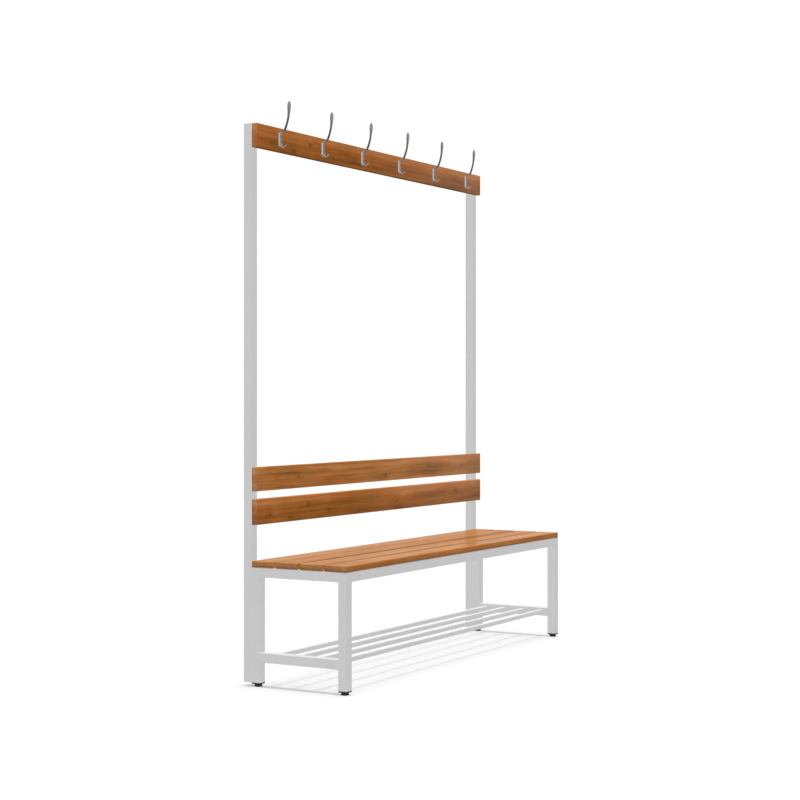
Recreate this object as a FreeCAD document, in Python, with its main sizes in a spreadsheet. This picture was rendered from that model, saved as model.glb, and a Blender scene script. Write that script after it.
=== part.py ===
import FreeCAD, Part
import math
import os
import re
import Sketcher

# Single-sided cloakroom bench: a slatted seat on a square-tube frame, a shoe rack of
# square bars under it, and two tall uprights behind it that carry two back slats and
# a coat rail with three-pronged hooks. Millimetres. +Z up, the front faces -Y, +X is
# to the right seen from the front. The origin is at floor level, in the middle of the
# bench's length and of its whole depth.

Vec = FreeCAD.Vector
Rot = FreeCAD.Rotation
Place = FreeCAD.Placement

doc = FreeCAD.newDocument("cloakroom_bench")

# ------------------------------------------------------------------ driving sizes
sizes = [
    # overall
    ("bench_length", 1500), ("bench_depth", 346), ("frame_top", 369.5), ("upright_top", 1745),
    # square tube of legs, rails, stretchers and uprights
    ("tube_width", 30), ("tube_wall", 1.5), ("tube_corner", 1),
    ("stretcher_bottom", 76.5),
    # shoe rack
    ("bar_width", 14), ("bar_wall", 1.2), ("bar_lift", 0.5), ("bar_corner", 0.8), ("bar_pitch", 77),
    # timber
    ("slat_thick", 19), ("slat_width", 80), ("slat_round", 2.5),
    ("lower_slat_bottom", 500), ("lower_slat_height", 80),
    ("upper_slat_bottom", 604), ("upper_slat_height", 75),
    ("rail_bottom", 1669.5), ("rail_height", 75),
    # feet
    ("foot_height", 12.5), ("flange_thick", 4), ("plug_width", 26.9), ("plug_height", 22),
    ("pad_radius", 11.9), ("pad_disc", 6.4), ("collar_radius", 10.6), ("pad_height", 8.2),
    ("pad_socket", 5), ("stud_radius", 4), ("stud_length", 28.8), ("bore_radius", 4.05),
    # end caps of the uprights
    ("cap_thick", 2), ("cap_plug", 12), ("cap_wall", 2),
    # coat hooks
    ("hook_pitch", 250), ("hook_centre", 1708), ("hook_plate_width", 8.8),
    ("hook_plate_height", 46), ("hook_plate_lift", -1.5), ("hook_plate_thick", 6.6),
    ("hook_plate_round", 1.2),
    ("hook_reach", 37.1), ("hook_rise", 101), ("hook_leaf_width", 20.6),
    ("hook_leaf_thick", 6), ("hook_leaf_top", 17.5), ("hook_bar_width", 8.7),
    ("hook_bar_thick", 6.4), ("hook_prong_radius", 1.7),
    # countersunk screws of the hooks
    ("csk_radius", 3), ("csk_depth", 1.7), ("csk_shank", 1.5), ("csk_length", 21),
    ("csk_spacing", 8), ("csk_recess", 0.2), ("csk_pilot", 15.5),
    # pan-head screws of the slats and the coat rail
    ("pan_radius", 4), ("pan_height", 2.4), ("pan_shank", 2), ("pan_length", 43.5),
    ("pan_pilot", 14.5), ("pan_spacing", 20), ("tube_hole", 2.2),
    # bolts and welded nuts that join the uprights to the rear legs
    ("bolt_head", 4.4), ("bolt_flange", 8.75), ("bolt_shank", 4), ("bolt_length", 41),
    ("bolt_low", 140), ("bolt_high", 300), ("bolt_hole", 4.25), ("nut_radius", 7.5),
    ("nut_height", 6.5),
]
size = dict(sizes)
sheet = doc.addObject("Spreadsheet::Sheet", "Sizes")
for row, (name, value) in enumerate(sizes, 1):
    sheet.set("A%d" % row, name)
    sheet.set("B%d" % row, str(value))
    sheet.setAlias("B%d" % row, name)
doc.recompute()


def ex(text):
    """An expression in which every size name points at its cell."""
    return re.sub(r"[a-z][a-z_]*", lambda m: "Sizes." + m.group(0) if m.group(0) in size else m.group(0), text)


def bind(obj, prop, text):
    obj.setExpression(prop, ex(text))


def place(obj, x, y, z, rot=Rot()):
    obj.Placement = Place(Vec(0, 0, 0), rot)
    bind(obj, "Placement.Base.x", x)
    bind(obj, "Placement.Base.y", y)
    bind(obj, "Placement.Base.z", z)


LEFT = "-bench_length / 2"
RIGHT = "bench_length / 2"
FRONT = "-(bench_depth + tube_width + bolt_head) / 2"
BACK = FRONT + " + bench_depth"            # rear face of the rear legs, front face of the uprights
ALONG_X = Rot(Vec(0, 1, 0), 90)            # local Z to +X
ALONG_Y = Rot(Vec(1, 0, 0), -90)           # local Z to +Y, local Y to -Z
FACING_BACK = Rot(Vec(1, 0, 0), 90)        # local Z to -Y, local Y to +Z
SLAT_PITCH = "(bench_depth - slat_width) / 3"

nodes = []


def plane(body, role):
    return [o for o in body.Origin.OriginFeatures if o.Role == role][0]


def sketch(body, name, role):
    sk = body.newObject("Sketcher::SketchObject", name)
    sk.AttachmentSupport = [(plane(body, role), "")]
    sk.MapMode = "FlatFace"
    return sk


def rectangle(sk, tag, width, height, centred, start=10.0):
    i = sk.GeometryCount
    a = start
    pts = [Vec(-a, -a, 0), Vec(a, -a, 0), Vec(a, a, 0), Vec(-a, a, 0)]
    if not centred:
        pts = [p + Vec(a, a, 0) for p in pts]
    for k in range(4):
        sk.addGeometry(Part.LineSegment(pts[k], pts[(k + 1) % 4]), False)
    for k in range(4):
        sk.addConstraint(Sketcher.Constraint("Coincident", i + k, 2, i + (k + 1) % 4, 1))
    for k in (0, 2):
        sk.addConstraint(Sketcher.Constraint("Horizontal", i + k))
    for k in (1, 3):
        sk.addConstraint(Sketcher.Constraint("Vertical", i + k))
    if centred:
        sk.addConstraint(Sketcher.Constraint("Symmetric", i, 1, i + 2, 1, -1, 1))
    else:
        sk.addConstraint(Sketcher.Constraint("Coincident", i, 1, -1, 1))
    for k, kind, text, end in ((i, "DistanceX", width, "_w"), (i + 1, "DistanceY", height, "_h")):
        c = sk.addConstraint(Sketcher.Constraint(kind, k, 1, k, 2, 2 * a))
        sk.renameConstraint(c, tag + end)
        bind(sk, "Constraints." + tag + end, text)


def circle(sk, tag, x, y, radius):
    """A circle at a positive x and y, or on the vertical axis where x is None."""
    g = sk.addGeometry(Part.Circle(Vec(0 if x is None else 20, 20, 0), Vec(0, 0, 1), 2), False)
    todo = [("Radius", (g,), radius, "_r"), ("DistanceY", (-1, 1, g, 3), y, "_y")]
    if x is None:
        sk.addConstraint(Sketcher.Constraint("PointOnObject", g, 3, -2))
    else:
        todo.append(("DistanceX", (-1, 1, g, 3), x, "_x"))
    for kind, where, text, end in todo:
        c = sk.addConstraint(Sketcher.Constraint(kind, *where, 2 if kind == "Radius" else 20))
        sk.renameConstraint(c, tag + end)
        bind(sk, "Constraints." + tag + end, text)


def rounded(body, base, name, radius, pick):
    edges = ["Edge%d" % (n + 1) for n, e in enumerate(base.Shape.Edges) if pick(e)]
    fillet = body.newObject("PartDesign::Fillet", name)
    fillet.Base = (base, edges)
    bind(fillet, "Radius", radius)
    return fillet


def pocket(body, sk, name, depth=None, symmetric=False, reverse=False):
    before = body.Shape.Volume
    cut = body.newObject("PartDesign::Pocket", name)
    cut.Profile = sk
    if depth is None:
        cut.Type = "ThroughAll"
        if symmetric:
            cut.SideType = "Symmetric"
    else:
        cut.Type = "Length"
        bind(cut, "Length", depth)
    cut.Reversed = reverse
    body.Tip = cut
    doc.recompute()
    if not body.Shape.Volume < before - 1.0:
        raise RuntimeError("%s cuts nothing" % name)
    return cut


# ------------------------------------------------------------------ square tube
def tube(label, length, x, y, z, rot=Rot(), through=(), rear=(), stock="tube"):
    """A length of square tube. through: holes across both walls, as (distance from the
    tube's start, radius); rear: holes in the wall on the local +Y side only."""
    body = doc.addObject("PartDesign::Body", label)
    body.Label = label
    sk = sketch(body, label + "_profile", "XY_Plane")
    rectangle(sk, "outer", stock + "_width", stock + "_width", True, 10.0)
    rectangle(sk, "inner", stock + "_width - 2 * " + stock + "_wall", stock + "_width - 2 * " + stock + "_wall", True, 7.0)
    pad = body.newObject("PartDesign::Pad", label + "_pad")
    pad.Profile = sk
    bind(pad, "Length", length)
    doc.recompute()
    edge = size[stock + "_width"] / 2 - 0.1
    body.Tip = rounded(body, pad, label + "_corners", stock + "_corner",
                       lambda e: abs(e.CenterOfMass.x) > edge and abs(e.CenterOfMass.y) > edge)
    doc.recompute()
    for holes, tag, both in ((through, "through", True), (rear, "rear", False)):
        if holes:
            hk = sketch(body, label + "_" + tag, "XZ_Plane")
            for n, (at, radius) in enumerate(holes):
                circle(hk, "hole%d" % n, None, at, radius)
            doc.recompute()
            pocket(body, hk, label + "_" + tag + "_holes", symmetric=both)
    place(body, x, y, z, rot)
    nodes.append((label, body, 1))
    return body


HALF = "tube_width / 2"
for side, x in (("left", LEFT + " + " + HALF), ("right", RIGHT + " - " + HALF)):
    leg = "frame_top - foot_height"
    tube("front_leg_" + side, leg, x, FRONT + " + " + HALF, "foot_height")
    tube("rear_leg_" + side, leg, x, BACK + " - " + HALF, "foot_height",
         rear=[("bolt_low - foot_height", "bolt_hole"), ("bolt_high - foot_height", "bolt_hole")])
    foot = "foot_height + cap_thick"
    holes = [(b + " - (" + foot + ")", "bolt_hole") for b in ("bolt_low", "bolt_high")]
    for bottom, height in (("lower_slat_bottom", "lower_slat_height"),
                           ("upper_slat_bottom", "upper_slat_height"), ("rail_bottom", "rail_height")):
        for sign in ("-", "+"):
            holes.append(("%s + %s / 2 %s pan_spacing - (%s)" % (bottom, height, sign, foot), "tube_hole"))
    tube("upright_" + side, "upright_top - foot_height - 2 * cap_thick", x, BACK + " + " + HALF, foot,
         through=holes)

SPAN_Y = "bench_depth - 2 * tube_width"
SPAN_X = "bench_length - 2 * tube_width"
under_slats = [("slat_width / 2 + %d * %s - tube_width" % (k, SLAT_PITCH), "tube_hole") for k in range(4)]
rail_mid = "frame_top - " + HALF
shelf_mid = "stretcher_bottom + " + HALF
for side, x in (("left", LEFT + " + " + HALF), ("right", RIGHT + " - " + HALF)):
    tube("seat_side_rail_" + side, SPAN_Y, x, FRONT + " + tube_width", rail_mid, ALONG_Y, through=under_slats)
    tube("lower_stretcher_" + side, SPAN_Y, x, FRONT + " + tube_width", shelf_mid, ALONG_Y)
tube("seat_cross_rail", SPAN_Y, "0", FRONT + " + tube_width", rail_mid, ALONG_Y, through=under_slats)
tube("seat_front_rail", SPAN_X, LEFT + " + tube_width", FRONT + " + " + HALF, rail_mid, ALONG_X)
tube("seat_rear_rail", SPAN_X, LEFT + " + tube_width", BACK + " - " + HALF, rail_mid, ALONG_X)
for k in range(4):
    tube("rack_bar_%d" % (k + 1), SPAN_X, LEFT + " + tube_width",
         FRONT + " + bench_depth / 2 + (%.1f) * bar_pitch" % (k - 1.5), shelf_mid + " + bar_lift", ALONG_X, stock="bar")


# ------------------------------------------------------------------ timber
def board(label, width, x, y, z, rot, holes, face_holes=()):
    """A board with every edge rounded. Local X runs along it and local Y across it; the
    pilot holes go in from the local Z = 0 side, and face_holes from the other side."""
    body = doc.addObject("PartDesign::Body", label)
    body.Label = label
    sk = sketch(body, label + "_outline", "XY_Plane")
    rectangle(sk, "outline", "bench_length", width, False)
    pad = body.newObject("PartDesign::Pad", label + "_pad")
    pad.Profile = sk
    bind(pad, "Length", "slat_thick")
    doc.recompute()
    body.Tip = rounded(body, pad, label + "_edges", "slat_round", lambda e: True)
    doc.recompute()
    hk = sketch(body, label + "_pilots", "XY_Plane")
    for n, (hx, hy) in enumerate(holes):
        circle(hk, "pilot%d" % n, hx, hy, "pan_shank + 0.05")
    doc.recompute()
    pocket(body, hk, label + "_pilot_holes", "pan_pilot", reverse=True)
    if face_holes:
        fk = sketch(body, label + "_face_pilots", "XY_Plane")
        bind(fk, "AttachmentOffset.Base.z", "slat_thick")
        for n, (hx, hy) in enumerate(face_holes):
            circle(fk, "face%d" % n, hx, hy, "csk_shank + 0.05")
        doc.recompute()
        pocket(body, fk, label + "_face_pilot_holes", "csk_pilot")
    place(body, x, y, z, rot)
    nodes.append((label, body, 1))


ends = ("tube_width / 2", "bench_length - tube_width / 2")
for k in range(4):
    board("seat_slat_%d" % (k + 1), "slat_width", LEFT, FRONT + " + %d * %s" % (k, SLAT_PITCH), "frame_top", Rot(),
          [(hx, "slat_width / 2") for hx in (ends[0], "bench_length / 2", ends[1])])
for label, bottom, height in (("back_slat_lower", "lower_slat_bottom", "lower_slat_height"),
                              ("back_slat_upper", "upper_slat_bottom", "upper_slat_height"),
                              ("coat_rail", "rail_bottom", "rail_height")):
    pilots = [(hx, "%s / 2 %s pan_spacing" % (height, sign)) for hx in ends for sign in ("-", "+")]
    front = []
    if label == "coat_rail":
        front = [("hook_pitch * %.1f" % (n + 0.5), "hook_centre - rail_bottom %s csk_spacing" % sign)
                 for n in range(6) for sign in ("-", "+")]
    board(label, height, LEFT, BACK, bottom, FACING_BACK, pilots, front)


# ------------------------------------------------------------------ small shape helpers
def box(name, lx, ly, lz, x, y, z):
    b = doc.addObject("Part::Box", name)
    for prop, text in (("Length", lx), ("Width", ly), ("Height", lz)):
        bind(b, prop, text)
    place(b, x, y, z)
    return b


def cylinder(name, radius, height, x="0", y="0", z="0", rot=Rot()):
    c = doc.addObject("Part::Cylinder", name)
    bind(c, "Radius", radius)
    bind(c, "Height", height)
    place(c, x, y, z, rot)
    return c


def cone(name, low, high, height, x="0", y="0", z="0", rot=Rot()):
    c = doc.addObject("Part::Cone", name)
    bind(c, "Radius1", low)
    bind(c, "Radius2", high)
    bind(c, "Height", height)
    place(c, x, y, z, rot)
    return c


def fuse(name, parts):
    f = doc.addObject("Part::MultiFuse", name)
    f.Shapes = parts
    f.Refine = True
    return f


def cut(name, base, tool):
    c = doc.addObject("Part::Cut", name)
    c.Base = base
    c.Tool = tool
    return c


def fillet(name, base, radius, pick):
    doc.recompute()
    f = doc.addObject("Part::Fillet", name)
    f.Base = base
    f.Edges = [(n + 1, radius, radius) for n, e in enumerate(base.Shape.Edges) if pick(e)]
    return f


def upright_edge(e):
    return abs(e.BoundBox.ZLength) > 1 and e.BoundBox.XLength < 0.01 and e.BoundBox.YLength < 0.01


def copies(label, master, spots):
    """One node of separate, identical solids."""
    links = []
    for n, (x, y, z, rot) in enumerate(spots):
        c = doc.addObject("Part::Compound", "%s_%d" % (label, n + 1))
        c.Links = [master]
        place(c, x, y, z, rot)
        links.append(c)
    group = doc.addObject("Part::Compound", label)
    group.Label = label
    group.Links = links
    nodes.append((label, group, len(spots)))


# ------------------------------------------------------------------ levelling feet
flange = fillet("insert_flange", box("insert_flange_block", "tube_width", "tube_width", "flange_thick",
                                     "-tube_width / 2", "-tube_width / 2", "0"), size["tube_corner"], upright_edge)
plug = fillet("insert_plug", box("insert_plug_block", "plug_width", "plug_width", "plug_height",
                                 "-plug_width / 2", "-plug_width / 2", "flange_thick"), 0.8, upright_edge)
insert_body = fuse("insert_body", [flange, plug])
insert_bore = cylinder("insert_bore", "bore_radius", "flange_thick + plug_height + 2", z="-1")

disc_block = cylinder("pad_disc_block", "pad_radius", "pad_disc")
disc = fillet("pad_disc_round", disc_block, 1.3, lambda e: e.Length > 20 and e.BoundBox.ZLength < 0.01)
collar = cylinder("pad_collar", "collar_radius", "pad_height - pad_disc / 2", z="pad_disc / 2")
pad_body = fuse("pad_body", [disc, collar])
pad_socket = cylinder("pad_socket_hole", "stud_radius + 0.02", "pad_socket + 2", z="pad_height - pad_socket")

stud_rod = cylinder("stud_rod", "stud_radius", "stud_length - 1")
stud_end = cone("stud_end", "stud_radius", "stud_radius - 0.8", "1", z="stud_length - 1")
stud_body = fuse("stud_body", [stud_rod, stud_end])

corners = [("front_left", LEFT + " + " + HALF, FRONT + " + " + HALF), ("front_right", RIGHT + " - " + HALF, FRONT + " + " + HALF),
           ("rear_left", LEFT + " + " + HALF, BACK + " - " + HALF), ("rear_right", RIGHT + " - " + HALF, BACK + " - " + HALF)]
for corner, x, y in corners:
    piece = cut("foot_insert_" + corner, insert_body, insert_bore)
    place(piece, x, y, "foot_height - flange_thick")
    nodes.append(("foot_insert_" + corner, piece, 1))
    piece = cut("foot_pad_" + corner, pad_body, pad_socket)
    place(piece, x, y, "0")
    nodes.append(("foot_pad_" + corner, piece, 1))
    piece = doc.addObject("Part::Compound", "foot_stud_" + corner)
    piece.Links = [stud_body]
    place(piece, x, y, "pad_height - pad_socket")
    nodes.append(("foot_stud_" + corner, piece, 1))

# ------------------------------------------------------------------ end caps of the uprights
cap_top = fillet("cap_flange", box("cap_flange_block", "tube_width", "tube_width", "cap_thick",
                                   "-tube_width / 2", "-tube_width / 2", "0"), size["tube_corner"], upright_edge)
cap_edge = fillet("cap_flange_edge", cap_top, 0.8,
                  lambda e: e.BoundBox.ZLength < 0.01 and e.CenterOfMass.z > size["cap_thick"] - 0.1)
cap_plug = box("cap_plug_block", "plug_width", "plug_width", "cap_plug", "-plug_width / 2", "-plug_width / 2", "-cap_plug")
cap_inside = box("cap_plug_hollow", "plug_width - 2 * cap_wall", "plug_width - 2 * cap_wall", "cap_plug",
                 "-plug_width / 2 + cap_wall", "-plug_width / 2 + cap_wall", "-cap_plug - 0.5")
cap_body = fuse("cap_body", [cap_edge, cap_plug])
for side, x in (("left", LEFT + " + " + HALF), ("right", RIGHT + " - " + HALF)):
    piece = cut("upright_top_cap_" + side, cap_body, cap_inside)
    place(piece, x, BACK + " + " + HALF, "upright_top - cap_thick")
    nodes.append(("upright_top_cap_" + side, piece, 1))
    piece = cut("upright_bottom_cap_" + side, cap_body, cap_inside)
    place(piece, x, BACK + " + " + HALF, "foot_height + cap_thick", Rot(Vec(1, 0, 0), 180))
    nodes.append(("upright_bottom_cap_" + side, piece, 1))

# ------------------------------------------------------------------ coat hook
# Local origin on the rail's face at the middle of the plate; -Y is away from the rail.
plate = doc.addObject("PartDesign::Body", "hook_plate")
pk = sketch(plate, "hook_plate_outline", "XZ_Plane")
r0, h0 = 5.0, 18.0
pk.addGeometry(Part.LineSegment(Vec(r0, -h0, 0), Vec(r0, h0, 0)), False)
pk.addGeometry(Part.ArcOfCircle(Part.Circle(Vec(0, h0, 0), Vec(0, 0, 1), r0), 0, math.pi), False)
pk.addGeometry(Part.LineSegment(Vec(-r0, h0, 0), Vec(-r0, -h0, 0)), False)
pk.addGeometry(Part.ArcOfCircle(Part.Circle(Vec(0, -h0, 0), Vec(0, 0, 1), r0), math.pi, 2 * math.pi), False)
for a, pa, b, pb in ((0, 2, 1, 1), (1, 2, 2, 1), (2, 2, 3, 1), (3, 2, 0, 1)):
    pk.addConstraint(Sketcher.Constraint("Tangent", a, pa, b, pb))
pk.addConstraint(Sketcher.Constraint("Symmetric", 1, 3, 3, 3, -1, 1))
pk.addConstraint(Sketcher.Constraint("Vertical", 0))
pk.addConstraint(Sketcher.Constraint("PointOnObject", 1, 3, -2))
for kind, where, start, tag, text in (("Radius", (1,), r0, "end_r", "hook_plate_width / 2"),
                                      ("DistanceY", (3, 3, 1, 3), 2 * h0, "centres", "hook_plate_height - hook_plate_width")):
    c = pk.addConstraint(Sketcher.Constraint(kind, *where, start))
    pk.renameConstraint(c, tag)
    bind(pk, "Constraints." + tag, text)
pp = plate.newObject("PartDesign::Pad", "hook_plate_pad")
pp.Profile = pk
bind(pp, "Length", "hook_plate_thick")
doc.recompute()
if plate.Shape.BoundBox.YMin > -1:
    raise RuntimeError("the hook plate is on the wrong side of the rail's face")
plate.Tip = rounded(plate, pp, "hook_plate_crown", "hook_plate_round",
                    lambda e: e.BoundBox.YMax < -size["hook_plate_thick"] + 0.01)
doc.recompute()
place(plate, "0", "0", "hook_plate_lift")


def fraction(value, name):
    return "%s * %.5f" % (name, value / size[name])


# upper prong: forward and up out of the plate, then a long curve to upright, widening
# from an oval bar to a flat leaf. Each section: y, z, lean from upright, width, thickness.
prong = [(-1.7, 16.7, 64, 8.2, 6.4), (-6.5, 19.7, 62, 8.5, 6.4), (-11.7, 22.6, 59, 8.7, 6.4),
         (-16.6, 25.7, 50, 8.8, 6.4), (-20.3, 29.6, 37, 8.7, 6.4), (-23.4, 35.0, 27, 8.7, 6.4),
         (-27.3, 45.0, 20.4, 8.7, 6.4), (-31.1, 57.0, 15.2, 9.2, 6.4), (-33.9, 70.0, 10.3, 10.2, 6.3),
         (-35.7, 82.0, 6.4, 12.4, 6.2), (-36.7, 92.0, 3.2, 16.2, 6.1)]
sections = []
for n, (y, z, lean, width, thick) in enumerate(prong):
    e = doc.addObject("Part::Ellipse", "prong_section_%d" % (n + 1))
    bind(e, "MajorRadius", fraction(width / 2, "hook_bar_width"))
    bind(e, "MinorRadius", fraction(thick / 2, "hook_bar_thick"))
    place(e, "0", "-" + fraction(-y, "hook_reach"), fraction(z, "hook_rise"), Rot(Vec(1, 0, 0), lean))
    sections.append(e)
e = doc.addObject("Part::Ellipse", "prong_section_leaf")
bind(e, "MajorRadius", "hook_leaf_width / 2")
bind(e, "MinorRadius", "hook_leaf_thick / 2")
place(e, "0", "-hook_reach", "hook_rise")
sections.append(e)
upper = doc.addObject("Part::Loft", "hook_upper_prong")
upper.Sections = sections
upper.Solid = True
upper.Ruled = False
leaf = doc.addObject("Part::Ellipsoid", "hook_leaf_end")
bind(leaf, "Radius1", "hook_leaf_top")
bind(leaf, "Radius2", "hook_leaf_width / 2")
bind(leaf, "Radius3", "hook_leaf_thick / 2")
leaf.Angle1 = 0
leaf.Angle2 = 90
place(leaf, "0", "-hook_reach", "hook_rise")

# two lower prongs: down and forward out of the plate, then apart and up, with round ends
lower_path = [(1.5, -4.2, -17.6, 1.12), (2.4, -7.6, -21.8, 1.08), (3.8, -10.5, -24.6, 1.04),
              (5.5, -13.1, -25.3, 1.0), (7.5, -15.5, -23.4, 1.0), (9.7, -17.7, -20.1, 1.0),
              (11.9, -19.7, -16.5, 1.0)]


def lower_prong(name, mirror):
    points = [Vec(mirror * x, y, z) for x, y, z, k in lower_path]
    rings = []
    for n, p in enumerate(points):
        ahead = points[min(n + 1, len(points) - 1)]
        behind = points[max(n - 1, 0)]
        along = (ahead - behind).normalize()
        flat = Vec(mirror * 0.9, 0.43, 0)
        side = (flat - along * flat.dot(along)).normalize()
        turn = Rot(side, along.cross(side), along, "ZXY")
        spot = (fraction(p.x, "hook_plate_width"), fraction(p.y, "hook_reach"), fraction(p.z, "hook_rise"))
        c = doc.addObject("Part::Circle", "%s_ring_%d" % (name, n + 1))
        bind(c, "Radius", "hook_prong_radius * %.3f" % lower_path[n][3])
        place(c, *spot, turn)
        rings.append(c)
    loft = doc.addObject("Part::Loft", name)
    loft.Sections = rings
    loft.Solid = True
    loft.Ruled = False
    end = doc.addObject("Part::Sphere", name + "_end")
    bind(end, "Radius", "hook_prong_radius * %.3f" % lower_path[-1][3])
    end.Angle1 = 0
    place(end, *spot, turn)
    return [loft, end]


casting = fuse("hook_casting", [plate, upper, leaf] + lower_prong("hook_lower_prong_right", 1)
               + lower_prong("hook_lower_prong_left", -1))
INTO_RAIL = Rot(Vec(1, 0, 0), -90)         # local Z to +Y
tools = []
for tag, z in (("low", "-csk_spacing"), ("high", "csk_spacing")):
    tools.append(cylinder("hook_hole_" + tag, "csk_shank + 0.1", "hook_plate_thick + 4", y="-hook_plate_thick - 2", z=z, rot=INTO_RAIL))
    tools.append(cone("hook_sink_" + tag, "csk_radius + 0.05", "csk_shank + 0.05", "csk_depth",
                      y="-hook_plate_thick + csk_recess", z=z, rot=INTO_RAIL))
    tools.append(cylinder("hook_mouth_" + tag, "csk_radius + 0.05", "csk_recess + 1", y="-hook_plate_thick - 1", z=z, rot=INTO_RAIL))
hook_holes = fuse("hook_holes", tools)
HOOK_Y = BACK + " - slat_thick"
hook_x = [LEFT + " + hook_pitch * %.1f" % (n + 0.5) for n in range(6)]
for n, x in enumerate(hook_x):
    piece = cut("coat_hook_%d" % (n + 1), casting, hook_holes)
    place(piece, x, HOOK_Y, "hook_centre")
    nodes.append(("coat_hook_%d" % (n + 1), piece, 1))

# ------------------------------------------------------------------ fasteners
# each points along local +Z, with the underside of its head (or its flush top) at Z = 0
csk = fuse("csk_blank", [cone("csk_head", "csk_radius", "csk_shank", "csk_depth"),
                         cylinder("csk_rod", "csk_shank", "csk_length - 4"),
                         cone("csk_point", "csk_shank", "0.2", "4", z="csk_length - 4")])
cross = fuse("csk_cross", [box("csk_cross_a", "3.4", "0.8", "2.2", "-1.7", "-0.4", "-1"),
                           box("csk_cross_b", "0.8", "3.4", "2.2", "-0.4", "-1.7", "-1")])
csk_screw = cut("csk_screw", csk, cross)
copies("hook_screws", csk_screw, [(x, HOOK_Y + " - hook_plate_thick + csk_recess", "hook_centre %s csk_spacing" % s, INTO_RAIL)
                                  for x in hook_x for s in ("-", "+")])

pan_head = fillet("pan_head", cylinder("pan_head_block", "pan_radius", "pan_height", z="-pan_height"), 1.4,
                  lambda e: e.Length > 20 and e.CenterOfMass.z < -1 and e.BoundBox.ZLength < 0.01)
pan = fuse("pan_blank", [pan_head, cylinder("pan_rod", "pan_shank", "pan_length - 4"),
                         cone("pan_point", "pan_shank", "0.3", "4", z="pan_length - 4")])
pan_cross = fuse("pan_cross", [box("pan_cross_a", "4.4", "1", "2", "-2.2", "-0.5", "-pan_height - 0.6"),
                               box("pan_cross_b", "1", "4.4", "2", "-0.5", "-2.2", "-pan_height - 0.6")])
pan_screw = cut("pan_screw", pan, pan_cross)
copies("seat_slat_screws", pan_screw, [(x, FRONT + " + slat_width / 2 + %d * %s" % (k, SLAT_PITCH), "frame_top - tube_width", Rot())
                                       for x in (LEFT + " + " + HALF, "0", RIGHT + " - " + HALF) for k in range(4)])
post_x = (LEFT + " + " + HALF, RIGHT + " - " + HALF)
behind = BACK + " + tube_width"
copies("back_slat_screws", pan_screw, [(x, behind, "%s + %s / 2 %s pan_spacing" % (b, hgt, s), FACING_BACK)
                                       for x in post_x for s in ("-", "+")
                                       for b, hgt in (("lower_slat_bottom", "lower_slat_height"), ("upper_slat_bottom", "upper_slat_height"))])
copies("coat_rail_screws", pan_screw, [(x, behind, "rail_bottom + rail_height / 2 %s pan_spacing" % s, FACING_BACK)
                                       for x in post_x for s in ("-", "+")])

bolt_disc = cylinder("bolt_flange_disc", "bolt_flange", "1", z="-1")
bolt_dome = fillet("bolt_dome", cylinder("bolt_dome_block", "bolt_flange * 0.8", "bolt_head", z="-bolt_head"), 2.2,
                   lambda e: e.Length > 30 and e.CenterOfMass.z < -2 and e.BoundBox.ZLength < 0.01)
bolt_socket = doc.addObject("Part::Prism", "bolt_socket")
bolt_socket.Polygon = 6
bind(bolt_socket, "Circumradius", "bolt_shank * 0.72")
bind(bolt_socket, "Height", "3.4")
place(bolt_socket, "0", "0", "-bolt_head - 1")
bolt_blank = fuse("bolt_blank", [bolt_disc, bolt_dome, cylinder("bolt_rod", "bolt_shank", "bolt_length - 1"),
                                 cone("bolt_point", "bolt_shank", "bolt_shank - 0.8", "1", z="bolt_length - 1")])
bolt = cut("flange_bolt", bolt_blank, bolt_socket)
spots = [(x, z) for x in post_x for z in ("bolt_low", "bolt_high")]
copies("upright_bolts", bolt, [(x, behind, z, FACING_BACK) for x, z in spots])

nut_block = doc.addObject("Part::Prism", "nut_block")
nut_block.Polygon = 6
bind(nut_block, "Circumradius", "nut_radius")
bind(nut_block, "Height", "nut_height")
nut = cut("weld_nut", nut_block, cylinder("nut_bore", "bolt_shank + 0.05", "nut_height + 2", z="-1"))
copies("upright_nuts", nut, [(x, BACK + " - tube_wall", z, FACING_BACK) for x, z in spots])

# ------------------------------------------------------------------ checks, then one file per piece
doc.recompute()
for obj in doc.Objects:
    if "Invalid" in obj.State or "Error" in obj.State:
        raise RuntimeError("%s failed: %s" % (obj.Name, obj.State))
for label, obj, count in nodes:
    obj.Label = label
    shape = obj.Shape
    if shape.isNull() or not shape.isValid():
        raise RuntimeError("%s has no valid shape" % label)
    if len(shape.Solids) != count:
        raise RuntimeError("%s has %d solids, not %d" % (label, len(shape.Solids), count))
if len(set(n[0] for n in nodes)) != len(nodes):
    raise RuntimeError("two pieces share a name")

os.makedirs("parts", exist_ok=True)
for label, obj, count in nodes:
    solids = obj.Shape.Solids
    shape = solids[0] if count == 1 else Part.makeCompound(solids)
    shape.exportStep("parts/%s.step" % label)
print("%d pieces" % len(nodes))
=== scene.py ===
import math
import bpy
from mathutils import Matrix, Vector


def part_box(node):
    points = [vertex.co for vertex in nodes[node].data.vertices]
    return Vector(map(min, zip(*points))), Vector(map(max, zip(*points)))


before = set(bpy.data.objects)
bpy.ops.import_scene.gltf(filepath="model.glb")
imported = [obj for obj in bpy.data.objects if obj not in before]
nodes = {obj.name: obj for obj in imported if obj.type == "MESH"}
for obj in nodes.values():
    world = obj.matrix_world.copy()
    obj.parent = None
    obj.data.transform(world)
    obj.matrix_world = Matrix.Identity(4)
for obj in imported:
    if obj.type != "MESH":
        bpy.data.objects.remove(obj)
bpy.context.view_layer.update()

scene = bpy.context.scene


# ---------------------------------------------------------------- node graph helper

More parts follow.
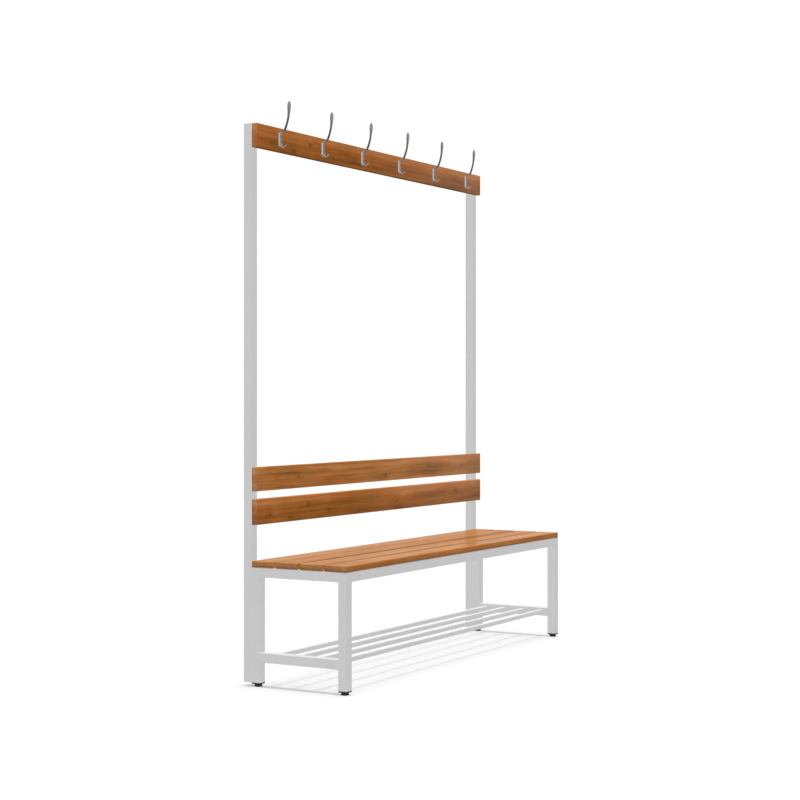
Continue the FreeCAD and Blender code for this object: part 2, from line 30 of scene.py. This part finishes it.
class Graph:
    """Builds the node tree of one material. Every method returns an output socket."""

    def __init__(self, name):
        self.mat = bpy.data.materials.new(name)
        self.mat.use_nodes = True
        self.tree = self.mat.node_tree
        self.tree.nodes.clear()
        self.out = self.tree.nodes.new("ShaderNodeOutputMaterial")
        self.bsdf = self.tree.nodes.new("ShaderNodeBsdfPrincipled")
        self.tree.links.new(self.bsdf.outputs["BSDF"], self.out.inputs["Surface"])

    def node(self, kind, **props):
        n = self.tree.nodes.new(kind)
        for k, v in props.items():
            setattr(n, k, v)
        return n

    def put(self, socket, value):
        if isinstance(value, bpy.types.NodeSocket):
            self.tree.links.new(value, socket)
        else:
            socket.default_value = value

    def set(self, name, value):
        self.put(self.bsdf.inputs[name], value)

    def coords(self):
        return self.node("ShaderNodeTexCoord").outputs["Object"]

    def math(self, op, a, b=0.0, c=0.0, clamp=False):
        n = self.node("ShaderNodeMath", operation=op, use_clamp=clamp)
        for i, v in enumerate((a, b, c)):
            self.put(n.inputs[i], v)
        return n.outputs[0]

    def vec(self, op, a, b=(0.0, 0.0, 0.0)):
        n = self.node("ShaderNodeVectorMath", operation=op)
        self.put(n.inputs[0], a)
        self.put(n.inputs[1], b)
        return n.outputs["Value"] if op in ("LENGTH", "DISTANCE", "DOT_PRODUCT") else n.outputs["Vector"]

    def split(self, v):
        n = self.node("ShaderNodeSeparateXYZ")
        self.put(n.inputs[0], v)
        return n.outputs[0], n.outputs[1], n.outputs[2]

    def join(self, x, y, z):
        n = self.node("ShaderNodeCombineXYZ")
        for i, v in enumerate((x, y, z)):
            self.put(n.inputs[i], v)
        return n.outputs[0]

    def noise(self, v, scale=1.0, detail=2.0, rough=0.5, distortion=0.0, colour=False):
        n = self.node("ShaderNodeTexNoise", noise_dimensions="3D")
        self.put(n.inputs["Vector"], v)
        n.inputs["Scale"].default_value = scale
        n.inputs["Detail"].default_value = detail
        n.inputs["Roughness"].default_value = rough
        n.inputs["Distortion"].default_value = distortion
        return n.outputs["Color"] if colour else n.outputs[0]

    def remap(self, v, a, b, c=0.0, d=1.0, smooth=False):
        n = self.node("ShaderNodeMapRange", interpolation_type="SMOOTHSTEP" if smooth else "LINEAR", clamp=True)
        for i, x in enumerate((v, a, b, c, d)):
            self.put(n.inputs[i], x)
        return n.outputs[0]

    def ramp(self, v, stops, mode="LINEAR"):
        n = self.node("ShaderNodeValToRGB")
        r = n.color_ramp
        r.interpolation = mode
        while len(r.elements) > 1:
            r.elements.remove(r.elements[-1])
        r.elements[0].position = stops[0][0]
        r.elements[0].color = (*stops[0][1], 1.0)
        for p, c in stops[1:]:
            e = r.elements.new(p)
            e.color = (*c, 1.0)
        self.put(n.inputs[0], v)
        return n.outputs[0]

    def mix(self, f, a, b, mode="MIX"):
        n = self.node("ShaderNodeMix", data_type="RGBA", blend_type=mode)
        self.put(n.inputs[0], f)
        for i, v in ((6, a), (7, b)):
            self.put(n.inputs[i], v if isinstance(v, bpy.types.NodeSocket) else (*v, 1.0))
        return n.outputs[2]

    def bump(self, height, strength, distance, normal=None):
        n = self.node("ShaderNodeBump")
        n.inputs["Strength"].default_value = strength
        n.inputs["Distance"].default_value = distance
        self.put(n.inputs["Height"], height)
        if normal is not None:
            self.put(n.inputs["Normal"], normal)
        return n.outputs[0]


def srgb(r, g, b):
    """Linear colour of an sRGB colour given in 0 to 255."""
    def lin(c):
        c /= 255.0
        return c / 12.92 if c <= 0.04045 else ((c + 0.055) / 1.055) ** 2.4
    return lin(r), lin(g), lin(b)


def dress(mat, *names):
    for n in names:
        o = nodes[n]
        for s in o.material_slots:
            s.material = mat


# ---------------------------------------------------------------- timber

def shades(mid):
    """Ramp of one timber from its dark streaks to its light ones; the light ones are a little paler."""
    def at(k, pale):
        return tuple(min(1.0, k * c + pale * mid[0]) for c in mid)
    return [(0.05, at(0.42, 0.0)), (0.30, at(0.74, 0.0)), (0.55, at(1.0, 0.0)), (0.80, at(1.18, 0.045)), (1.0, at(1.34, 0.11))]


def timber(name, node, across, pith, knots, shift, mid_tone, sapwood=0.0, slope=0.0, painted_sheen=0.0, painted_gap_shade=(0.0, 0.0), coat=0.05, foot=0.0, open_side=0.0, shade=0.0, contrast=1.0):
    """Plain-sawn lacquered board along X. across is the axis of the board's width: 'z' for upright boards, 'y' for seat
    slats.
    pith is where the ring centre line runs, (across, depth, slope across, slope depth), in the board's own axes.
    knots are (along, across, radius, depth of shade) on the board's face. mid_tone is the board's middle colour.
    sapwood is how much lighter the upper third is, slope how much lighter the board gets across its width,
    painted_sheen how much paler its right end is, a painted sheen of the lacquer, painted_gap_shade how dark the
    painted shade on the upper rounded long edges next to the gaps is (low side, high side), coat the weight of the
    lacquer's gloss, foot how dark the painted shade on the lowest few millimetres is, where it lies on the frame, on
    its ends and on its open_side (-1 front, 1 back), shade how much darker it gets in a broad band along its back edge,
    contrast how strong the streaks and clouds are."""
    g = Graph(name)
    lo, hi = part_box(node)
    mid = (lo + hi) / 2
    p = g.vec("SUBTRACT", g.coords(), tuple(mid))
    x, y, z = g.split(p)
    u = x
    v, w = (z, y) if across == "z" else (y, z)
    q = g.join(u, v, w)
    qs = g.vec("ADD", q, shift)

    # slow waves of the fibres along the board
    wave = g.noise(g.vec("MULTIPLY", qs, (1.7, 7.0, 7.0)), 1.0, 2.0, 0.5, colour=True)
    wave = g.vec("SUBTRACT", wave, (0.5, 0.5, 0.5))
    fine = g.noise(g.vec("MULTIPLY", qs, (9.0, 30.0, 30.0)), 1.0, 2.0, 0.5, colour=True)
    fine = g.vec("SUBTRACT", fine, (0.5, 0.5, 0.5))
    bent = g.vec("ADD", q, g.vec("MULTIPLY", wave, (0.0, 0.022, 0.022)))
    bent = g.vec("ADD", bent, g.vec("MULTIPLY", fine, (0.0, 0.0022, 0.0022)))

    # knots: small soft hearts, a little taller than wide, with a shaded halo; the rings bend round them
    lift, heart, halo = None, None, None
    fray = g.math("MULTIPLY", g.math("SUBTRACT", g.noise(g.vec("MULTIPLY", qs, (110.0, 90.0, 90.0)), 1.0, 3.0, 0.6), 0.5), 1.5)
    for kx, kv, kr, depth in knots:
        d = g.vec("SUBTRACT", g.join(u, v, 0.0), (kx, kv, 0.0))
        long = g.vec("LENGTH", g.vec("MULTIPLY", d, (0.30 / kr, 0.75 / kr, 0.0)))
        d = g.math("ADD", g.vec("LENGTH", g.vec("MULTIPLY", d, (0.74 / kr, 0.66 / kr, 0.0))), fray)
        core = g.math("MULTIPLY", g.remap(d, 1.7, 0.1, 0.0, 1.0, True), depth)
        ring = g.math("MULTIPLY", g.remap(long, 2.2, 0.0, 0.0, 1.0, True), depth)
        up = g.math("MULTIPLY", g.math("EXPONENT", g.math("MULTIPLY", g.math("MULTIPLY", long, long), -0.6)), 1.1 * kr)
        lift = up if lift is None else g.math("ADD", lift, up)
        heart = core if heart is None else g.math("MAXIMUM", heart, core)
        halo = ring if halo is None else g.math("MAXIMUM", halo, ring)

    # growth rings
    bu, bv, bw = g.split(bent)
    pv, pw, sv, sw = pith
    rv = g.math("SUBTRACT", bv, g.math("MULTIPLY_ADD", u, sv, pv))
    rw = g.math("SUBTRACT", bw, g.math("MULTIPLY_ADD", u, sw, pw))
    r = g.math("SQRT", g.math("ADD", g.math("MULTIPLY", rv, rv), g.math("MULTIPLY", rw, rw)))
    if lift is not None:
        r = g.math("ADD", r, lift)
    year = g.math("DIVIDE", r, 0.0052)
    width = g.math("MULTIPLY", g.math("SUBTRACT", g.noise(g.join(g.math("MULTIPLY", r, 60.0), 0.3, 0.7), 1.0, 2.0), 0.5), 2.4)
    phase = g.math("FRACT", g.math("ADD", year, width))
    late = g.ramp(phase, [(0.0, (0.0,) * 3), (0.55, (0.18,) * 3), (0.86, (1.0,) * 3), (0.93, (0.85,) * 3), (1.0, (0.0,) * 3)], "EASE")
    zone = g.remap(g.noise(g.vec("MULTIPLY", qs, (1.2, 16.0, 16.0)), 1.0, 2.0), 0.35, 0.7, 0.25, 1.0, True)
    late = g.math("MULTIPLY", late, zone)

    # fibres, streaks, clouds and pores; the end grain is paler, and the end faces of an upright board carry a painted
    # shade towards their back, next to the upright
    streak = g.noise(g.vec("MULTIPLY", g.vec("ADD", bent, shift), (2.2, 75.0, 75.0)), 1.0, 4.0, 0.62)
    fibre = g.noise(g.vec("MULTIPLY", g.vec("ADD", bent, shift), (9.0, 620.0, 620.0)), 1.0, 3.0, 0.6)
    cloud = g.noise(g.vec("MULTIPLY", qs, (4.5, 13.0, 13.0)), 1.0, 3.0, 0.55)
    pore = g.noise(g.vec("MULTIPLY", g.vec("ADD", bent, shift), (70.0, 2100.0, 2100.0)), 1.0, 1.0, 0.5)
    pore = g.remap(pore, 0.64, 0.76, 0.0, 1.0, True)

    tone = g.math("MULTIPLY_ADD", g.math("SUBTRACT", streak, 0.5), 0.85 * contrast, 0.55)
    tone = g.math("MULTIPLY_ADD", g.math("SUBTRACT", cloud, 0.5), 0.60 * contrast, tone)
    tone = g.math("MULTIPLY_ADD", g.math("SUBTRACT", fibre, 0.5), 0.34 * contrast, tone)
    tone = g.math("MULTIPLY_ADD", late, -0.13, tone)
    half = (hi[2] - lo[2]) / 2 if across == "z" else (hi[1] - lo[1]) / 2
    length = (hi[0] - lo[0]) / 2
    wander = g.math("MULTIPLY", g.math("SUBTRACT", cloud, 0.5), 0.018)
    edge_v = g.math("ADD", v, wander)
    if sapwood:
        band = g.remap(edge_v, 0.10 * half, 0.66 * half, -0.31 * sapwood, 0.69 * sapwood, True)
        tone = g.math("ADD", tone, band)
    if slope:
        tone = g.math("MULTIPLY_ADD", edge_v, slope / half, tone)
    if halo is not None:
        tone = g.math("MULTIPLY_ADD", halo, -0.16, tone)
    colour = g.ramp(tone, shades(mid_tone))
    hue = g.noise(g.vec("MULTIPLY", g.vec("ADD", qs, (2.3, 0.7, 1.1)), (6.0, 24.0, 24.0)), 1.0, 2.0, 0.5)
    colour = g.mix(g.remap(hue, 0.50, 0.68, 0.0, 1.0, True), colour, g.mix(1.0, colour, (1.02, 0.935, 0.87), "MULTIPLY"))
    colour = g.mix(g.remap(hue, 0.50, 0.32, 0.0, 1.0, True), colour, g.mix(1.0, colour, (0.985, 1.045, 1.08), "MULTIPLY"))
    if heart is not None:
        colour = g.mix(g.math("MULTIPLY", heart, 0.68), colour, tuple(c * 0.25 for c in mid_tone))
    colour = g.mix(g.math("MULTIPLY", pore, 0.28), colour, tuple(c * 0.35 for c in mid_tone))
    tip = g.remap(g.math("ABSOLUTE", u), length - 0.0030, length - 0.0012)
    pale = g.mix(0.075 if across == "z" else 0.05, colour, (0.46, 0.36, 0.30))
    if across == "z":
        pale = g.mix(g.remap(v, 0.30 * half, 0.62 * half, 0.0, 0.10, True), pale, (0.60, 0.40, 0.20))
        # painted shade on the end faces of an upright board: darker towards its back, next to the upright
        pale = g.mix(g.remap(w, 0.0045, 0.0072, 0.0, 0.42, True), pale, tuple(c * 0.35 for c in mid_tone))
    colour = g.mix(tip, colour, pale)
    # painted sheen: the board gets paler towards its right end, where the lacquer's sheen shows
    if painted_sheen:
        colour = g.mix(g.remap(u, -0.20, 0.75, 0.0, painted_sheen), colour, (0.46, 0.36, 0.30))
    # painted shade in the gaps between the slats: the upper rounded long edges next to the gaps are darker, less so
    # near the ends
    for side, dark in ((-1.0, painted_gap_shade[0]), (1.0, painted_gap_shade[1])):
        if dark:
            gap_shade_mask = g.remap(g.math("MULTIPLY", v, side), half - 0.0034, half - 0.0008, 0.0, dark, True)
            gap_shade_mask = g.math("MULTIPLY", gap_shade_mask, g.remap(z, hi[2] - mid[2] - 0.0044, hi[2] - mid[2] - 0.0024))
            gap_shade_mask = g.math("MULTIPLY", gap_shade_mask, g.remap(g.math("ABSOLUTE", u), length - 0.11, length - 0.005, 1.0, 0.35))
            colour = g.mix(gap_shade_mask, colour, tuple(c * 0.22 for c in mid_tone))
    if shade:
        colour = g.mix(g.remap(v, half - 0.034, half - 0.012, 0.0, shade, True), colour, tuple(c * 0.22 for c in mid_tone))
    # painted shade: the lowest few millimetres of the outer faces are darker, where the board lies on the frame
    if foot:
        outer = g.remap(g.math("ABSOLUTE", u), length - 0.0040, length - 0.0015)
        if open_side:
            outer = g.math("MAXIMUM", outer, g.remap(g.math("MULTIPLY", v, open_side), half - 0.0040, half - 0.0015))
        low = g.remap(z, lo[2] - mid[2] + 0.0105, lo[2] - mid[2] + 0.0015, 0.0, foot)
        colour = g.mix(g.math("MULTIPLY", low, outer), colour, tuple(c * 0.30 for c in mid_tone))
    g.set("Base Color", colour)

    rough = g.math("MULTIPLY_ADD", g.math("SUBTRACT", fibre, 0.5), 0.16, 0.40)
    rough = g.math("MULTIPLY_ADD", pore, 0.12, rough)
    g.set("Roughness", rough)
    g.set("Specular IOR Level", 0.0)
    g.set("Coat Weight", coat)
    g.set("Coat Roughness", 0.22)
    height = g.math("MULTIPLY_ADD", pore, -0.6, fibre)
    height = g.math("MULTIPLY_ADD", late, 0.25, height)
    g.set("Normal", g.bump(height, 0.35, 0.00012))
    return g.mat


SEAT = srgb(151, 98, 49)

boards = [
    ("seat_slat_1", "y", (0.010, -0.075, 0.012, 0.004), [(0.18, -0.021, 0.0030, 0.7)], (0.37, 0.11, 0.53), SEAT,
     dict(painted_gap_shade=(0.0, 0.5), coat=0.20, foot=0.55, open_side=-1.0, shade=0.09)),
    ("seat_slat_2", "y", (-0.022, -0.060, -0.018, 0.006), [(-0.47, 0.012, 0.0028, 0.6)], (1.91, 0.63, 0.27), srgb(148, 96, 48),
     dict(slope=-0.03, painted_gap_shade=(0.45, 0.4), coat=0.16, foot=0.55)),
    ("seat_slat_3", "y", (0.018, -0.085, 0.010, -0.008), [(0.39, 0.006, 0.0032, 0.7)], (3.17, 0.29, 0.81), srgb(142, 91, 46),
     dict(slope=0.12, painted_gap_shade=(0.5, 0.0), coat=0.14, foot=0.55)),
    ("seat_slat_4", "y", (-0.008, -0.066, 0.020, 0.005), [(-0.12, -0.015, 0.0026, 0.6)], (4.73, 0.87, 0.09), srgb(150, 98, 49),
     dict(coat=0.16, foot=0.55, open_side=1.0)),
    ("back_slat_lower", "z", (-0.012, 0.070, 0.010, 0.004),
     [(-0.457, 0.008, 0.0042, 1.0), (0.549, 0.007, 0.0042, 0.9), (-0.676, -0.010, 0.0034, 0.7), (-0.560, -0.026, 0.0036, 0.8),
      (0.112, -0.010, 0.0034, 0.6), (0.450, -0.027, 0.0030, 0.7), (-0.332, -0.018, 0.0030, 0.5)], (5.83, 0.41, 0.33), srgb(150, 91, 40),
     dict(sapwood=0.34, slope=0.10, painted_sheen=0.105, contrast=1.2)),
    ("back_slat_upper", "z", (0.014, 0.064, -0.012, 0.006),
     [(0.035, -0.017, 0.0044, 1.0), (-0.637, -0.002, 0.0030, 0.7), (-0.514, -0.002, 0.0032, 0.7), (0.595, -0.003, 0.0040, 0.6),
      (-0.373, 0.017, 0.0032, 0.6)], (6.37, 0.17, 0.71), srgb(159, 102, 53),
     dict(sapwood=0.28, slope=-0.06, painted_sheen=0.11, contrast=1.5)),
    ("coat_rail", "z", (-0.006, 0.074, 0.014, -0.005),
     [(-0.448, 0.003, 0.0040, 1.0), (-0.667, -0.017, 0.0034, 0.7), (-0.540, -0.026, 0.0040, 0.8), (0.332, -0.017, 0.0034, 0.7),
      (0.548, 0.005, 0.0036, 0.8)], (7.91, 0.59, 0.47), srgb(152, 91, 40),
     dict(sapwood=0.28, slope=0.10, painted_sheen=0.15, contrast=1.2)),
]
for node, across, pith, knots, shift, tone, more in boards:
    dress(timber("timber_" + node, node, across, pith, knots, shift, tone, **more), node)


# ---------------------------------------------------------------- powder coat

def powder(name, base, line=None):
    """Satin powder coat: fine orange peel, faint clouding of colour and gloss. line is the height of the timber that lies on the
    tubes: a thin brown line on their rounded upper edges, just under it, stands in for the last millimetre of the slats' thickness,
    which the photo shows and the 19 mm slats don't have."""
    g = Graph(name)
    p = g.coords()
    peel = g.noise(p, 620.0, 2.0, 0.5)
    grain = g.noise(p, 2600.0, 1.0, 0.5)
    cloud = g.noise(p, 5.0, 3.0, 0.55)
    c = g.remap(cloud, 0.3, 0.7, 0.0, 1.0, True)
    lo = tuple(b * 0.982 for b in base)
    hi = tuple(min(1.0, b * 1.010) for b in base)
    colour = g.mix(c, lo, hi)
    colour = g.mix(g.remap(grain, 0.55, 0.75, 0.0, 0.06), colour, tuple(b * 0.8 for b in base))
    if line is not None:
        up = g.split(g.node("ShaderNodeNewGeometry").outputs["Normal"])[2]
        rim = g.math("MULTIPLY", g.remap(g.split(p)[2], line - 0.0015, line - 0.0009, 0.0, 0.95), g.remap(up, 0.95, 0.80))
        colour = g.mix(rim, colour, srgb(112, 72, 42))
    g.set("Base Color", colour)
    g.set("Roughness", g.math("MULTIPLY_ADD", peel, 0.14, 0.36))
    g.set("Specular IOR Level", 0.22)
    h = g.math("MULTIPLY_ADD", grain, 0.25, peel)
    g.set("Normal", g.bump(h, 0.25, 0.00006))
    return g.mat


paint = powder("frame_powder_coat", srgb(196, 196, 196))
dress(paint, *[n for n in nodes if n.startswith(("lower_stretcher", "upright_left", "upright_right", "rack_bar"))])
seat_paint = powder("seat_powder_coat", srgb(196, 196, 196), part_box("seat_front_rail")[1][2])
dress(seat_paint, *[n for n in nodes if n.startswith(("front_leg", "rear_leg", "seat_side", "seat_cross", "seat_front", "seat_rear"))])


def plastic(name, base, speck, rough):
    """Moulded plastic with a fine spark-eroded texture."""
    g = Graph(name)
    p = g.coords()
    tex = g.noise(p, 1500.0, 2.0, 0.6)
    soft = g.noise(p, 40.0, 2.0, 0.5)
    g.set("Base Color", g.mix(g.remap(g.math("MULTIPLY_ADD", soft, 0.5, g.math("MULTIPLY", tex, 0.5)), 0.35, 0.65, 0.0, 1.0), base, speck))
    g.set("Roughness", g.math("MULTIPLY_ADD", tex, 0.18, rough))
    g.set("Specular IOR Level", 0.4)
    g.set("Normal", g.bump(tex, 0.3, 0.00005))
    return g.mat


dress(plastic("cap_plastic_grey", srgb(193, 193, 193), srgb(199, 199, 199), 0.36),
      *[n for n in nodes if n.startswith("upright_") and "cap" in n])
dress(plastic("foot_plastic_black", srgb(24, 24, 25), srgb(38, 38, 39), 0.40),
      *[n for n in nodes if n.startswith(("foot_insert", "foot_pad"))])


# ---------------------------------------------------------------- metals

def satin(name, dark, light, rough, stretch, painted_shade_and_shine=()):
    """Satin plated metal: fine brushing along the piece, uneven gloss. painted_shade_and_shine lists heights and how
    much the colour is scaled there: on the hooks a painted shade at the root of the upper prong and a painted
    reflection higher up the stem.
    """
    g = Graph(name)
    p = g.coords()
    brush = g.noise(g.vec("MULTIPLY", p, stretch), 1.0, 3.0, 0.6)
    cloud = g.noise(p, 55.0, 2.0, 0.5)
    colour = g.mix(g.remap(g.math("MULTIPLY_ADD", cloud, 0.6, g.math("MULTIPLY", brush, 0.4)), 0.35, 0.65, 0.0, 1.0, True), dark, light)
    # painted shade and painted reflection: the colour is scaled by height along the piece
    if painted_shade_and_shine:
        z = g.split(p)[2]
        level = painted_shade_and_shine[0][1]
        for (z0, k0), (z1, k1) in zip(painted_shade_and_shine, painted_shade_and_shine[1:]):
            level = g.math("ADD", level, g.remap(z, z0, z1, 0.0, k1 - k0, True))
        colour = g.mix(1.0, colour, g.join(level, level, level), "MULTIPLY")
    g.set("Base Color", colour)
    g.set("Metallic", 1.0)
    g.set("Roughness", g.math("MULTIPLY_ADD", brush, 0.10, rough))
    g.set("Normal", g.bump(brush, 0.03, 0.00001))
    return g.mat


# the hooks carry a painted shade at the root of the upper prong and a painted reflection higher up the stem
hook = satin("hook_satin_nickel", srgb(168, 168, 168), srgb(177, 177, 177), 0.15, (900.0, 900.0, 60.0),
             [(1.7275, 0.94), (1.7312, 0.58), (1.748, 0.62), (1.764, 1.0), (1.786, 1.5), (1.806, 1.5), (1.816, 1.0)])
dress(hook, *[n for n in nodes if n.startswith("coat_hook")], "hook_screws")
zinc = satin("zinc_plate", srgb(150, 154, 158), srgb(190, 193, 196), 0.30, (900.0, 900.0, 900.0))
dress(zinc, "seat_slat_screws", "back_slat_screws", "coat_rail_screws", "upright_bolts", "upright_nuts",
      *[n for n in nodes if n.startswith("foot_stud")])


# ---------------------------------------------------------------- stage, light, camera

def floor():
    me = bpy.data.meshes.new("stage_floor")
    s = 90.0
    me.from_pydata([(-s, -s, 0), (s, -s, 0), (s, s, 0), (-s, s, 0)], [], [(0, 1, 2, 3)])
    o = bpy.data.objects.new("stage_floor", me)
    scene.collection.objects.link(o)
    g = Graph("stage_floor")
    n = g.noise(g.coords(), 3.0, 2.0, 0.5)
    g.set("Base Color", g.mix(n, (0.248, 0.248, 0.248), (0.252, 0.252, 0.252)))
    g.set("Roughness", 0.9)
    g.set("Specular IOR Level", 0.0)
    me.materials.append(g.mat)
    o.visible_diffuse = False
    o.visible_glossy = False
    return o


ground = floor()


def studio():
    """White backdrop for the camera, an even soft room for the matt surfaces, and a room with large soft panels, a light ceiling and
    a light floor for the reflections."""
    world = bpy.data.worlds.new("studio")
    scene.world = world
    world.use_nodes = True
    t = world.node_tree
    t.nodes.clear()

    def node(kind, **props):
        n = t.nodes.new(kind)
        for k, v in props.items():
            setattr(n, k, v)
        return n

    def put(sock, v):
        if isinstance(v, bpy.types.NodeSocket):
            t.links.new(v, sock)
        else:
            sock.default_value = v

    def math_(op, a, b=0.0, c=0.0):
        n = node("ShaderNodeMath", operation=op)
        for i, v in enumerate((a, b, c)):
            put(n.inputs[i], v)
        return n.outputs[0]

    def remap(v, a, b, c, d):
        n = node("ShaderNodeMapRange", interpolation_type="SMOOTHSTEP", clamp=True)
        for i, x in enumerate((v, a, b, c, d)):
            put(n.inputs[i], x)
        return n.outputs[0]

    way = node("ShaderNodeTexCoord").outputs["Generated"]
    sep = node("ShaderNodeSeparateXYZ")
    put(sep.inputs[0], way)
    z = sep.outputs[2]

    def panel(direction, inner, outer, power):
        n = node("ShaderNodeVectorMath", operation="DOT_PRODUCT")
        put(n.inputs[0], way)
        n.inputs[1].default_value = Vector(direction).normalized()
        return remap(n.outputs["Value"], math.cos(math.radians(outer)), math.cos(math.radians(inner)), 0.0, power)

    soft = remap(z, -0.8, 0.9, ROOM[0], ROOM[1])
    shine = math_("ADD", remap(z, -0.12, 0.42, 0.22, 0.60), remap(z, 0.4, 0.9, 0.0, 0.70))
    shine = math_("ADD", shine, remap(z, -0.66, -0.86, 0.0, 0.85))
    gate = remap(z, -0.03, 0.10, 0.0, 1.0)
    for direction, inner, outer, power in PANELS:
        shine = math_("ADD", shine, math_("MULTIPLY", gate, panel(direction, inner, outer, power)))
    path = node("ShaderNodeLightPath")
    pick = node("ShaderNodeMix", data_type="FLOAT")
    put(pick.inputs[0], path.outputs["Is Diffuse Ray"])
    put(pick.inputs[2], shine)
    put(pick.inputs[3], soft)
    seen = node("ShaderNodeMix", data_type="FLOAT")
    put(seen.inputs[0], path.outputs["Is Camera Ray"])
    put(seen.inputs[2], pick.outputs[0])
    seen.inputs[3].default_value = 1.05
    bg = node("ShaderNodeBackground")
    bg.inputs["Color"].default_value = (1.0, 1.0, 1.0, 1.0)
    put(bg.inputs["Strength"], seen.outputs[0])
    out = node("ShaderNodeOutputWorld")
    t.links.new(bg.outputs[0], out.inputs[0])


LINKS = {}


def sun(name, direction, strength, angle=20.0, shadow=False, lights=None, blockers=None, matt=True, shine=False):
    """A far lamp. strength is what it adds to a white matt face that looks straight at it. matt and shine say which it lights."""
    d = bpy.data.lights.new(name, "SUN")
    d.energy = strength * math.pi
    d.angle = math.radians(angle)
    d.use_shadow = shadow
    o = bpy.data.objects.new(name, d)
    o.rotation_mode = "QUATERNION"
    o.rotation_quaternion = Vector(direction).to_track_quat("-Z", "Y")
    o.visible_diffuse = matt
    o.visible_glossy = shine
    scene.collection.objects.link(o)
    for kind, members in (("receiver_collection", lights), ("blocker_collection", blockers)):
        if members:
            key = (kind, tuple(m.name for m in members))
            if key not in LINKS:
                LINKS[key] = bpy.data.collections.new(name + "_" + kind[:4])
                for m in members:
                    LINKS[key].objects.link(m)
            setattr(o.light_linking, kind, LINKS[key])
    return o


ROOM = (0.30, 0.46)
PANELS = [((-0.74, -0.64, 0.22), 14.0, 34.0, 0.30), ((-0.86, 0.50, 0.15), 14.0, 36.0, 0.85), ((0.85, -0.50, 0.14), 3.0, 13.0, 0.20)]
studio()
bench = list(nodes.values())
low = [o for n, o in nodes.items() if n.startswith(("front_leg", "rear_leg", "lower_stretcher", "upright_", "foot_"))]
bars = [o for n, o in nodes.items() if n.startswith("rack_bar")]
seat = [o for n, o in nodes.items() if n.startswith("seat_")]
slats = [o for n, o in nodes.items() if n.startswith("seat_slat_") and n != "seat_slat_screws"]
boards_up = [nodes["back_slat_lower"], nodes["back_slat_upper"], nodes["coat_rail"]]
feet = [o for n, o in nodes.items() if n.startswith("foot_")]
under_seat = [o for n, o in nodes.items() if n.startswith(("seat_front_rail", "seat_rear_rail", "seat_side_rail", "seat_cross_rail", "front_leg", "rear_leg"))]
sides = [nodes["lower_stretcher_left"], nodes["lower_stretcher_right"]]
rest = [o for o in bench if o not in slats and o not in boards_up and o not in feet and o not in under_seat and o not in sides]

# soft fill from all round, from above and from below; each lamp lights one group of pieces, without shadows
RING = [("left", 180, 0.25), ("front_left", 225, 0.24), ("front", 270, 0.222), ("front_right", 315, 0.24),
        ("right", 0, 0.22), ("back_right", 45, 0.20), ("back", 90, 0.20), ("back_left", 135, 0.24)]
for group, members, top, under in (("rest", rest, 1.30, 0.12), ("under_seat", under_seat, 1.30, 0.12), ("sides", sides, 1.10, 0.12), ("feet", feet, 0.30, 0.05),
                                   ("boards", boards_up, 1.30, 0.10), ("slats", slats, 1.40, 0.02)):
    for tag, azimuth, strength in RING:
        a = math.radians(azimuth)
        way = (-math.cos(a), -math.sin(a), 0.0)
        sun(group + "_" + tag, way, (1.22 if members is slats else 1.0) * strength, lights=members)
    sun(group + "_top", (0.0, 0.0, -1.0), top, lights=members)
    sun(group + "_under", (0.0, 0.0, 1.0), under, lights=members)

# a grazing sheen on the seat's lacquer
sun("slats_sheen", (-0.86, -0.49, -0.12), 0.085, 30.0, lights=slats, matt=False, shine=True)
nodes["coat_rail"].visible_glossy = False

# no piece tints or shades another one with bounced light
for o in bench:
    o.visible_diffuse = False

# overhead light on the floor, with the shadows of the frame, the rack and the seat
sun("floor_base", (0.0, 0.0, -1.0), 0.52, lights=[ground])
sun("floor_frame", (0.0, 0.0, -1.0), 1.20, 4.0, True, [ground], low)
sun("floor_near", (0.0, 0.0, -1.0), 1.05, 95.0, True, [ground], low)
sun("floor_bars", (0.0, 0.0, -1.0), 0.56, 3.5, True, [ground], bars)
sun("floor_seat", (0.0, 0.0, -1.0), 0.36, 12.0, True, [ground], seat)

cam = bpy.data.cameras.new("camera")
cam.sensor_fit = "HORIZONTAL"
cam.sensor_width = 36.0
cam.lens = 77.82
cam.shift_y = -0.00518
cam.clip_start = 0.1
cam.clip_end = 200.0
cam.dof.use_dof = False
co = bpy.data.objects.new("camera", cam)
co.location = (-5.15204, -2.92495, 0.8997)
co.rotation_euler = (math.radians(90.0), 0.0, math.radians(-59.918))
scene.collection.objects.link(co)
scene.camera = co

scene.view_settings.view_transform = "Standard"
scene.view_settings.look = "None"
scene.view_settings.exposure = 0.0
scene.view_settings.gamma = 1.0
